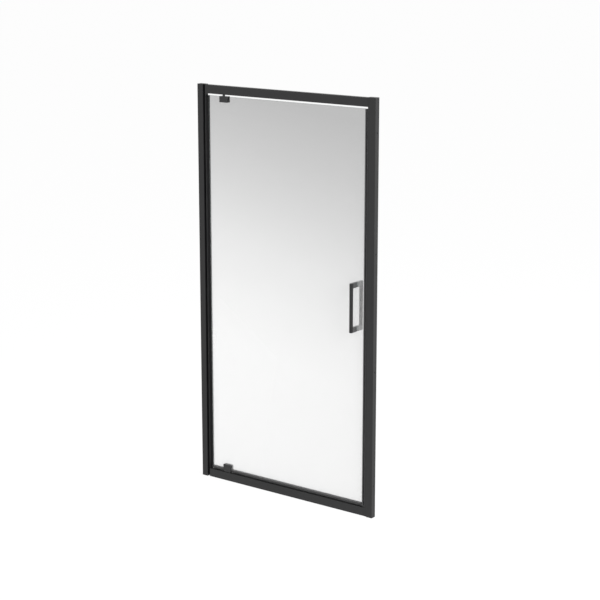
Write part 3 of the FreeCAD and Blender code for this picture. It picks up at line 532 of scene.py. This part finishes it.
def gasket_sheet(front, glass_edge, far, inward):
    """A U-shaped outline in X and Z, carried through the sheet's thickness."""
    floor = glass_edge + inward * NOTCH_DEPTH
    corners = [
        (gasket_low.x, far),
        (gasket_high.x, far),
        (gasket_high.x, glass_edge),
        (gasket_middle + NOTCH_HALF, glass_edge),
        (gasket_middle + NOTCH_HALF, floor),
        (gasket_middle - NOTCH_HALF, floor),
        (gasket_middle - NOTCH_HALF, glass_edge),
        (gasket_low.x, glass_edge),
    ]
    stations = (front, front + GASKET_THICKNESS)
    return carried_strip([rounded_outline(corners, GASKET_EASE)], stations, ACROSS_X, UPRIGHT, ACROSS_Y)


glass_faces = (gasket_low.y, gasket_high.y - GASKET_THICKNESS)
top_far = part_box("top_hinge_body")[0].z
bottom_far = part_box("bottom_hinge_body")[1].z
sheets = [gasket_sheet(front, pane_high.z, top_far, -1.0) for front in glass_faces]
sheets += [gasket_sheet(front, pane_low.z, bottom_far, 1.0) for front in glass_faces]
make_piece("clamp_gaskets", joined(*sheets), upright_rubber, "door_leaf", "soft_seal", "hinge_gaskets")

# Clamp screws: black-oxide socket-head screws, sunk in the back plates.
# Each head is turned with an eased rim and broached with a hexagon.
OXIDE = (0.050, 0.050, 0.053, 1.0)
OXIDE_PALE = (0.090, 0.088, 0.086, 1.0)
OXIDE_ROUGH = 0.36
OXIDE_GRAIN = 0.4 * MM
TURNED_LINES = (1, 8, 1)
SCREW_HEAD_RADIUS = 4.25 * MM
SCREW_HEAD = 3.6 * MM
SCREW_SHANK_RADIUS = 2.5 * MM
SCREW_SPACING = 17.0 * MM
SCREW_POINT = 0.5 * MM
RIM_EASE = 0.6 * MM
RIM_SHOULDER = 0.18 * MM
SOCKET_HALF = 2.0 * MM
SOCKET_DEPTH = 2.0 * MM
SOCKET_MOUTH = 0.75 * MM
SOCKET_MOUTH_DEPTH = 0.25 * MM
SOCKET_CONE = 0.6 * MM
SOCKET_CONE_TIP = 0.2
SCREW_POINTS = 48
black_oxide = metal_finish("black_oxide_steel", OXIDE, OXIDE_PALE, OXIDE_ROUGH, OXIDE_GRAIN, TURNED_LINES)
screw_low, screw_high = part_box("hinge_clamp_screws")


def socket_screw(x, z):
    """A turned form: each ring lies at a depth from the head's top, with a radius that is round outside
    and, in the socket, the hexagon half / cos(angle from the nearest flat)."""
    angle = np.linspace(0, 2 * math.pi, SCREW_POINTS, endpoint=False)
    flat = np.mod(angle, math.pi / 3) - math.pi / 6
    hexagon = SOCKET_HALF / np.cos(flat)
    plain = np.ones(SCREW_POINTS)
    length = screw_high.y - screw_low.y
    rings = [
        (length, plain * (SCREW_SHANK_RADIUS - SCREW_POINT)),
        (length - SCREW_POINT, plain * SCREW_SHANK_RADIUS),
        (SCREW_HEAD, plain * SCREW_SHANK_RADIUS),
        (SCREW_HEAD, plain * SCREW_HEAD_RADIUS),
        (RIM_EASE, plain * SCREW_HEAD_RADIUS),
        (RIM_SHOULDER, plain * (SCREW_HEAD_RADIUS - RIM_SHOULDER)),
        (0.0, plain * (SCREW_HEAD_RADIUS - RIM_EASE)),
        (0.0, plain * (SOCKET_HALF + SOCKET_MOUTH)),
        (SOCKET_MOUTH_DEPTH, hexagon),
        (SOCKET_DEPTH, hexagon),
        (SOCKET_DEPTH + SOCKET_CONE, hexagon * SOCKET_CONE_TIP),
    ]
    depth = np.repeat([[ring[0]] for ring in rings], SCREW_POINTS, axis=1)
    radius = np.stack([ring[1] for ring in rings])
    places = np.stack(
        [x + radius * np.cos(angle), screw_high.y - depth, z + radius * np.sin(angle)], axis=-1
    )
    index = np.arange(depth.size).reshape(depth.shape)
    low, high = index[:-1], index[1:]
    quads = np.stack([low, high, np.roll(high, -1, axis=1), np.roll(low, -1, axis=1)], axis=-1)
    return places.reshape(-1, 3), [quads.reshape(-1, 4), index[:1], index[-1:, ::-1]]


screw_middle = (screw_low.x + screw_high.x) / 2
screw_x = (screw_middle - SCREW_SPACING / 2, screw_middle + SCREW_SPACING / 2)
screw_z = (screw_low.z + SCREW_HEAD_RADIUS, screw_high.z - SCREW_HEAD_RADIUS)
screws = joined(*[socket_screw(x, z) for x in screw_x for z in screw_z])
make_piece("clamp_screws", screws, black_oxide, "door_leaf", "steel", "hinge_clamp_screws")

# Pivot pins: ground stainless steel, pressed into the hinges and running in the bushes.
# Grinding leaves fine rings round the pin.
STAINLESS = (0.62, 0.62, 0.61, 1.0)
STAINLESS_DULL = (0.48, 0.48, 0.475, 1.0)
GROUND_STEEL_ROUGH = 0.26
GRINDING_LINE = 0.35 * MM
GRINDING_RINGS = (30, 30, 1)
ground_steel = metal_finish(
    "ground_stainless", STAINLESS, STAINLESS_DULL, GROUND_STEEL_ROUGH, GRINDING_LINE, GRINDING_RINGS
)
dress(ground_steel, "top_pivot_pin", "bottom_pivot_pin")

# Hinge edge seal: a clip-on extrusion of black PVC on the leaf's hinge edge.
# Its two legs grip the glass, and a tapered nose fills the gap to the stile.
PVC_ROUGH = 0.36
GLASS_HALF = 3.0 * MM
NOSE_HALF = 1.2 * MM
NOSE_ROOT = 1.2 * MM
CLIP_EASE = 0.45 * MM
LIP_LENGTH = 1.6 * MM
LIP_THINNING = 0.3 * MM
upright_pvc = seal_finish("black_pvc_upright", SEAL_BLACK, SEAL_CHALKY, PVC_ROUGH, UPRIGHT_DIE_LINES)
edge_low, edge_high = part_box("hinge_edge_seal")
edge_half = edge_high.y
edge_root = pane_low.x - NOSE_ROOT
edge_corners = [
    (edge_high.x, -edge_half + LIP_THINNING),
    (edge_high.x - LIP_LENGTH, -edge_half),
    (edge_root, -edge_half),
    (edge_low.x, -NOSE_HALF),
    (edge_low.x, NOSE_HALF),
    (edge_root, edge_half),
    (edge_high.x - LIP_LENGTH, edge_half),
    (edge_high.x, edge_half - LIP_THINNING),
    (edge_high.x, GLASS_HALF),
    (pane_low.x, GLASS_HALF),
    (pane_low.x, -GLASS_HALF),
    (edge_high.x, -GLASS_HALF),
]
edge_run = np.linspace(edge_low.z, edge_high.z, SEAL_STEPS)
edge_outline = rounded_outline(edge_corners, CLIP_EASE)
edge_strip = carried_strip([edge_outline], edge_run, ACROSS_X, ACROSS_Y, UPRIGHT)
make_piece("hinge_edge_clip", edge_strip, upright_pvc, "door_leaf", "clip_seal", "hinge_edge_seal")

# Magnet profile: a clip-on extrusion of PVC on the closing edge, with a pocket for its magnet.
# A tall ridge on the outside, over the edge of the glass, stiffens it.
# Its grey is a painted highlight, a shade paler than the hinge side's seal, standing in for the light the
# ridge catches from the right.
PAINTED_HIGHLIGHT_GREY = (0.058, 0.058, 0.059, 1.0)
PAINTED_HIGHLIGHT_CHALKY = (0.080, 0.080, 0.081, 1.0)
LEG_HALF = 4.2 * MM
CLIP_WALL = 1.2 * MM
CLIP_CHAMFER = 0.8 * MM
RIDGE_WIDTH = 6.0 * MM
RIDGE_TAPER = 0.6 * MM
MAGNET_ROOM = 0.1 * MM
HOLLOW_EASE = 0.3 * MM
upright_painted_highlight = seal_finish(
    "painted_highlight_pvc_upright", PAINTED_HIGHLIGHT_GREY, PAINTED_HIGHLIGHT_CHALKY, PVC_ROUGH, UPRIGHT_DIE_LINES
)
clip_low, clip_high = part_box("magnet_edge_profile")
leaf_magnet_low, leaf_magnet_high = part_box("door_magnet_strip")
clip_half = clip_high.y
clip_corners = [
    (clip_low.x, -LEG_HALF + LIP_THINNING),
    (clip_low.x + LIP_LENGTH, -LEG_HALF),
    (pane_high.x - RIDGE_WIDTH, -LEG_HALF),
    (pane_high.x - RIDGE_WIDTH + RIDGE_TAPER, clip_low.y),
    (pane_high.x - RIDGE_TAPER, clip_low.y),
    (pane_high.x, -clip_half),
    (clip_high.x - CLIP_CHAMFER, -clip_half),
    (clip_high.x, -clip_half + CLIP_CHAMFER),
    (clip_high.x, clip_half - CLIP_CHAMFER),
    (clip_high.x - CLIP_CHAMFER, clip_half),
    (pane_high.x + CLIP_CHAMFER, clip_half),
    (pane_high.x, LEG_HALF),
    (clip_low.x + LIP_LENGTH, LEG_HALF),
    (clip_low.x, LEG_HALF - LIP_THINNING),
    (clip_low.x, GLASS_HALF),
    (pane_high.x, GLASS_HALF),
    (pane_high.x, -GLASS_HALF),
    (clip_low.x, -GLASS_HALF),
]


def eased_oblong(left, right, half):
    """The outline of a lengthwise hollow or bar, with eased corners."""
    return rounded_outline([(left, -half), (right, -half), (right, half), (left, half)], HOLLOW_EASE)


pocket_half = leaf_magnet_high.y + MAGNET_ROOM
pocket_left = leaf_magnet_low.x - MAGNET_ROOM
clip_loops = [
    rounded_outline(clip_corners, CLIP_EASE),
    eased_oblong(pocket_left, leaf_magnet_high.x, pocket_half),
    eased_oblong(pane_high.x + CLIP_WALL, pocket_left - CLIP_WALL, pocket_half),
]
clip_run = np.linspace(clip_low.z, clip_high.z, SEAL_STEPS)
clip = carried_strip(clip_loops, clip_run, ACROSS_X, ACROSS_Y, UPRIGHT)
make_piece("magnet_edge_clip", clip, upright_painted_highlight, "door_leaf", "clip_seal", "magnet_edge_profile")
leaf_magnet_outline = eased_oblong(leaf_magnet_low.x, leaf_magnet_high.x, leaf_magnet_high.y)
leaf_magnet = carried_strip([leaf_magnet_outline], clip_run, ACROSS_X, ACROSS_Y, UPRIGHT)
make_piece("leaf_magnet", leaf_magnet, magnet_rubber, "door_leaf", "magnet", "door_magnet_strip")

# Drip seal: a clip-on extrusion of PVC under the glass, cut in two at the bottom hinge.
# Its pale grey is the same painted highlight as the magnet profile's, for its ledge lit from above.
# A ledge sheds the water outside, a stiff skirt hides the gap, and a soft fin sweeps the sill behind it.
DRIP_HALF = 4.2 * MM
DRIP_WEB = 1.2 * MM
WEB_STOP = 1.4 * MM
SKIRT_DROP = 7.0 * MM
FIN_WALL = 0.9 * MM
FIN_ROOT = 2.0 * MM
FIN_BOW = 0.2 * MM
FIN_CURVE = 1.6
FIN_STEPS = 9
LEDGE_WALL = 1.6 * MM
LEDGE_FALL = 0.8 * MM
REAR_LIP_IN = 0.4 * MM
REAR_LIP_DOWN = 0.5 * MM
DRIP_EASE = 0.35 * MM
DRIP_END_GAP = 0.3 * MM
SHORT_STEPS = 5
# Painted highlight: the drip seal takes the magnet profile's paler grey, standing in for light on its
# ledge.
level_painted_highlight = seal_finish("painted_highlight_pvc_level", PAINTED_HIGHLIGHT_GREY, PAINTED_HIGHLIGHT_CHALKY, PVC_ROUGH, LEVEL_DIE_LINES)
drip_low, drip_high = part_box("bottom_drip_seal")
hinge_low, hinge_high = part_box("bottom_hinge_body")
web_level = pane_low.z - DRIP_WEB
skirt_level = pane_low.z - SKIRT_DROP
fin_fall = np.linspace(0, 1, FIN_STEPS)
fin_lean = drip_high.y - FIN_WALL - FIN_ROOT
fin_y = FIN_ROOT + fin_lean * fin_fall ** FIN_CURVE - FIN_BOW * np.sin(math.pi * fin_fall)
fin_z = web_level + (drip_low.z - web_level) * fin_fall
fin_back = np.stack([fin_y + FIN_WALL, fin_z], axis=1)
fin_front = np.stack([fin_y, fin_z], axis=1)[::-1]
drip_corners = [
    (WEB_STOP, web_level),
    (-GLASS_HALF, web_level),
    (-GLASS_HALF, skirt_level),
    (-DRIP_HALF, skirt_level),
    (-DRIP_HALF, drip_high.z - LEDGE_WALL),
    (drip_low.y, drip_high.z - LEDGE_FALL - LEDGE_WALL),
    (drip_low.y, drip_high.z - LEDGE_FALL),
    (-DRIP_HALF, drip_high.z),
    (-GLASS_HALF, drip_high.z),
    (-GLASS_HALF, pane_low.z),
    (GLASS_HALF, pane_low.z),
    (GLASS_HALF, drip_high.z),
    (DRIP_HALF - REAR_LIP_IN, drip_high.z),
    (DRIP_HALF, drip_high.z - REAR_LIP_DOWN),
    (DRIP_HALF, web_level),
]
drip_outline = np.concatenate([rounded_outline(drip_corners, DRIP_EASE), fin_back, fin_front])
left_run = np.linspace(drip_low.x, hinge_low.x - DRIP_END_GAP, SHORT_STEPS)
right_run = np.linspace(hinge_high.x + DRIP_END_GAP, drip_high.x, SEAL_STEPS)
drip_runs = (left_run, right_run)
drip_lengths = [carried_strip([drip_outline], run, ACROSS_Y, UPRIGHT, ACROSS_X) for run in drip_runs]
make_piece("drip_seal", joined(*drip_lengths), level_painted_highlight, "door_leaf", "clip_seal", "bottom_drip_seal")

# Handles: two C-shaped pulls cut from flat aluminium bar, back to back through the glass.
# They are linished along their length and anodised satin black. The posts are painted a paler grey than the
# grip bar, as painted light for their sides and tops lit from the right and above.
ANODISED = (0.0105, 0.0105, 0.0108, 1.0)
ANODISED_PALE = (0.0160, 0.0160, 0.0165, 1.0)
# Painted light: the posts' paler grey stands in for their sides lit from the right and their tops lit from
# above.
POST_PAINTED_LIGHT = (0.050, 0.050, 0.051, 1.0)
POST_PAINTED_LIGHT_PALE = (0.066, 0.066, 0.067, 1.0)
HANDLE_ROUGH = 0.28
HANDLE_SPECULAR = 0.30
DRIFT_PATCH = 50.0 * MM
DRIFT_SHARE = 0.5
DRIFT_SHEEN = 0.06
HAIR_LINE = 0.25 * MM
HAIR_DEPTH = 0.005 * MM
HAIR_BUMP = 0.20
HAIR_SHEEN = 0.10
UPRIGHT_HAIR = (1, 1, 90)
BAR_DEPTH = 12.0 * MM
bar_back = -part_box("outer_handle")[0].y - BAR_DEPTH


def anodised_finish():
    """Satin anodising: hair lines along the bar change the sheen, and the tone drifts slowly.
    The posts, told by their distance from the middle of the glass, |y| less than the bar's back, get a
    paler grey as painted light for their lit sides."""
    material, place, output = new_finish("satin_black_anodised")
    drift = place.noise(DRIFT_PATCH, GRAIN_DETAIL)
    hair = place.noise(HAIR_LINE, GRAIN_DETAIL, UPRIGHT_HAIR)
    lit_post_mask = abs(place.axis("Y")) < bar_back
    grain = DRIFT_SHARE * drift + (1.0 - DRIFT_SHARE) * hair
    sheen = HANDLE_ROUGH + HAIR_SHEEN * (hair - NOISE_MIDDLE) + DRIFT_SHEEN * (drift - NOISE_MIDDLE)
    inputs = {
        "Base Color": lit_post_mask.tint(grain.tint(ANODISED, ANODISED_PALE), grain.tint(POST_PAINTED_LIGHT, POST_PAINTED_LIGHT_PALE)),
        "Roughness": sheen,
        "Normal": hair.bump(HAIR_BUMP, HAIR_DEPTH),
        "Specular IOR Level": HANDLE_SPECULAR,
    }
    return close_finish(material, place.make("ShaderNodeBsdfPrincipled", {}, inputs), output)


dress(anodised_finish(), "outer_handle", "inner_handle")

# Handle fixing: steel studs through clear sleeves in the glass, with a soft washer under each post.
# The washers are moulded rings with rounded rims, pinched a little by the posts.
SLEEVE_TONE = (0.55, 0.56, 0.56, 1.0)
SLEEVE_PALE = (0.66, 0.67, 0.67, 1.0)
SLEEVE_ROUGH = 0.45
SLEEVE_GRAIN = 0.5 * MM
SLEEVE_DEPTH = 0.01 * MM
WASHER_RADIUS = 6.2 * MM
WASHER_BORE = 3.05 * MM
WASHER_THICKNESS = 1.0 * MM
WASHER_POINTS = 56
RIM_POINTS = 20
RIM_SQUARENESS = 0.35
dress(ground_steel, "handle_studs")
sleeve_nylon = coated_finish(
    "natural_nylon_sleeve", SLEEVE_TONE, SLEEVE_PALE, SLEEVE_ROUGH, SLEEVE_GRAIN, SLEEVE_DEPTH
)
dress(sleeve_nylon, "handle_sleeves")
washer_low, washer_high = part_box("handle_washers")
washer_x = (washer_low.x + washer_high.x) / 2


def squared_off(wave):
    """A wave between -1 and 1 with its curve made fuller: sign * |wave| ^ squareness."""
    return np.sign(wave) * np.abs(wave) ** RIM_SQUARENESS


def soft_washer(front, z):
    """A rounded ring: its section is a squared-off oval of the angle s, carried round the stud."""
    s = np.linspace(0, 2 * math.pi, RIM_POINTS, endpoint=False)
    angle = np.linspace(0, 2 * math.pi, WASHER_POINTS, endpoint=False)
    s, angle = np.meshgrid(s, angle, indexing="ij")
    middle = (WASHER_RADIUS + WASHER_BORE) / 2
    radius = middle + (WASHER_RADIUS - WASHER_BORE) / 2 * squared_off(np.cos(s))
    y = front + WASHER_THICKNESS / 2 + WASHER_THICKNESS / 2 * squared_off(np.sin(s))
    places = np.stack([washer_x + radius * np.cos(angle), y, z + radius * np.sin(angle)], axis=-1)
    index = np.arange(s.size).reshape(s.shape)
    ahead = np.roll(index, -1, axis=0)
    quads = np.stack([index, ahead, np.roll(ahead, -1, axis=1), np.roll(index, -1, axis=1)], axis=-1)
    return places.reshape(-1, 3), [quads.reshape(-1, 4)]


washer_fronts = (washer_low.y, washer_high.y - WASHER_THICKNESS)
washer_heights = (washer_low.z + WASHER_RADIUS, washer_high.z - WASHER_RADIUS)
washers = joined(*[soft_washer(front, z) for front in washer_fronts for z in washer_heights])
make_piece("soft_washers", washers, upright_rubber, "door_leaf", "soft_seal", "handle_washers")

# Floor and light: a plain white floor under a white studio, with a broad lamp from the right
# and a weaker one from above the front. Rays that look at the studio or the floor see white,
# and the light on the object stays at a plain level.
WHITE = (1.0, 1.0, 1.0, 1.0)
STUDIO_LIGHT = 0.78
STUDIO_WHITE = 0.98
FLOOR_PAINT = (0.90, 0.90, 0.90, 1.0)
FLOOR_HALF = 40.0
FLOOR_GLOW = 1.03
GLOW_SHARE = 0.85
LAMP_SIZE = 3.0
LAMP_AIM = (0.0, 0.0, 0.9)
WINDOW_PLACE = (4.5, -0.6, 2.8)
WINDOW_POWER = 300.0
TOP_PLACE = (0.5, -3.5, 4.0)
TOP_POWER = 40.0
scene = bpy.context.scene
scene.view_settings.view_transform = "Standard"


def looking_rays(tree):
    """Three signals, each 1 for a ray that comes from the camera, through glass or off a shiny surface."""
    rays = tree.nodes.new("ShaderNodeLightPath")
    kinds = ("Is Camera Ray", "Is Transmission Ray", "Is Glossy Ray")
    return [Signal(tree, rays.outputs[kind]) for kind in kinds]


world = bpy.data.worlds.new("white_studio")
world.use_nodes = True
scene.world = world
world_tree = world.node_tree
world_tree.nodes.clear()
seen, through, mirrored = looking_rays(world_tree)
strength = STUDIO_LIGHT + (STUDIO_WHITE - STUDIO_LIGHT) * (seen + mirrored + through).clamped()
studio = strength.make("ShaderNodeBackground", {}, {"Color": WHITE, "Strength": strength})
world_output = world_tree.nodes.new("ShaderNodeOutputWorld")
world_tree.links.new(studio.socket, world_output.inputs["Surface"])

floor_mesh = bpy.data.meshes.new("studio_floor")
floor_corners = [(-1, -1, 0), (1, -1, 0), (1, 1, 0), (-1, 1, 0)]
floor_mesh.from_pydata((np.array(floor_corners) * FLOOR_HALF).tolist(), [], [(0, 1, 2, 3)])
floor = bpy.data.objects.new("studio_floor", floor_mesh)
scene.collection.objects.link(floor)
floor_finish, floor_place, floor_output = new_finish("white_floor")
floor_seen, floor_through, floor_mirrored = looking_rays(floor_finish.node_tree)
floor_white = (GLOW_SHARE * (floor_seen + floor_through) + floor_mirrored).clamped()
floor_paint = floor_place.make("ShaderNodeBsdfDiffuse", {}, {"Color": FLOOR_PAINT})
floor_glow = floor_place.make("ShaderNodeEmission", {}, {"Color": WHITE, "Strength": FLOOR_GLOW})
floor_mix = floor_place.make("ShaderNodeMixShader", {}, {0: floor_white, 1: floor_paint, 2: floor_glow})
floor_mesh.materials.append(close_finish(floor_finish, floor_mix, floor_output))


def broad_lamp(name, place, power):
    """A square area lamp that faces the middle of the door."""
    data = bpy.data.lights.new(name, "AREA")
    data.shape = "SQUARE"
    data.size = LAMP_SIZE
    data.energy = power
    lamp = bpy.data.objects.new(name, data)
    scene.collection.objects.link(lamp)
    lamp.location = place
    lamp.rotation_euler = (Vector(LAMP_AIM) - Vector(place)).to_track_quat("-Z", "Y").to_euler()


broad_lamp("right_window", WINDOW_PLACE, WINDOW_POWER)
broad_lamp("top_front", TOP_PLACE, TOP_POWER)

# Camera: where the photograph was taken from, to the right of the door and above its middle.
# The lens is long, so the door's uprights stay close to parallel.
CAMERA_PLACE = (4.5389, -5.8973, 2.6861)
CAMERA_TURN = 37.1025
CAMERA_DIP = 13.2019
CAMERA_LENS = 100.113
CAMERA_SENSOR = 36.0
CAMERA_REACH = 100.0
camera_data = bpy.data.cameras.new("photo_camera")
camera_data.sensor_width = CAMERA_SENSOR
camera_data.lens = CAMERA_LENS
camera_data.clip_end = CAMERA_REACH
camera = bpy.data.objects.new("photo_camera", camera_data)
scene.collection.objects.link(camera)
camera.location = CAMERA_PLACE
camera.rotation_euler = (math.radians(90.0 - CAMERA_DIP), 0.0, math.radians(CAMERA_TURN))
scene.camera = camera
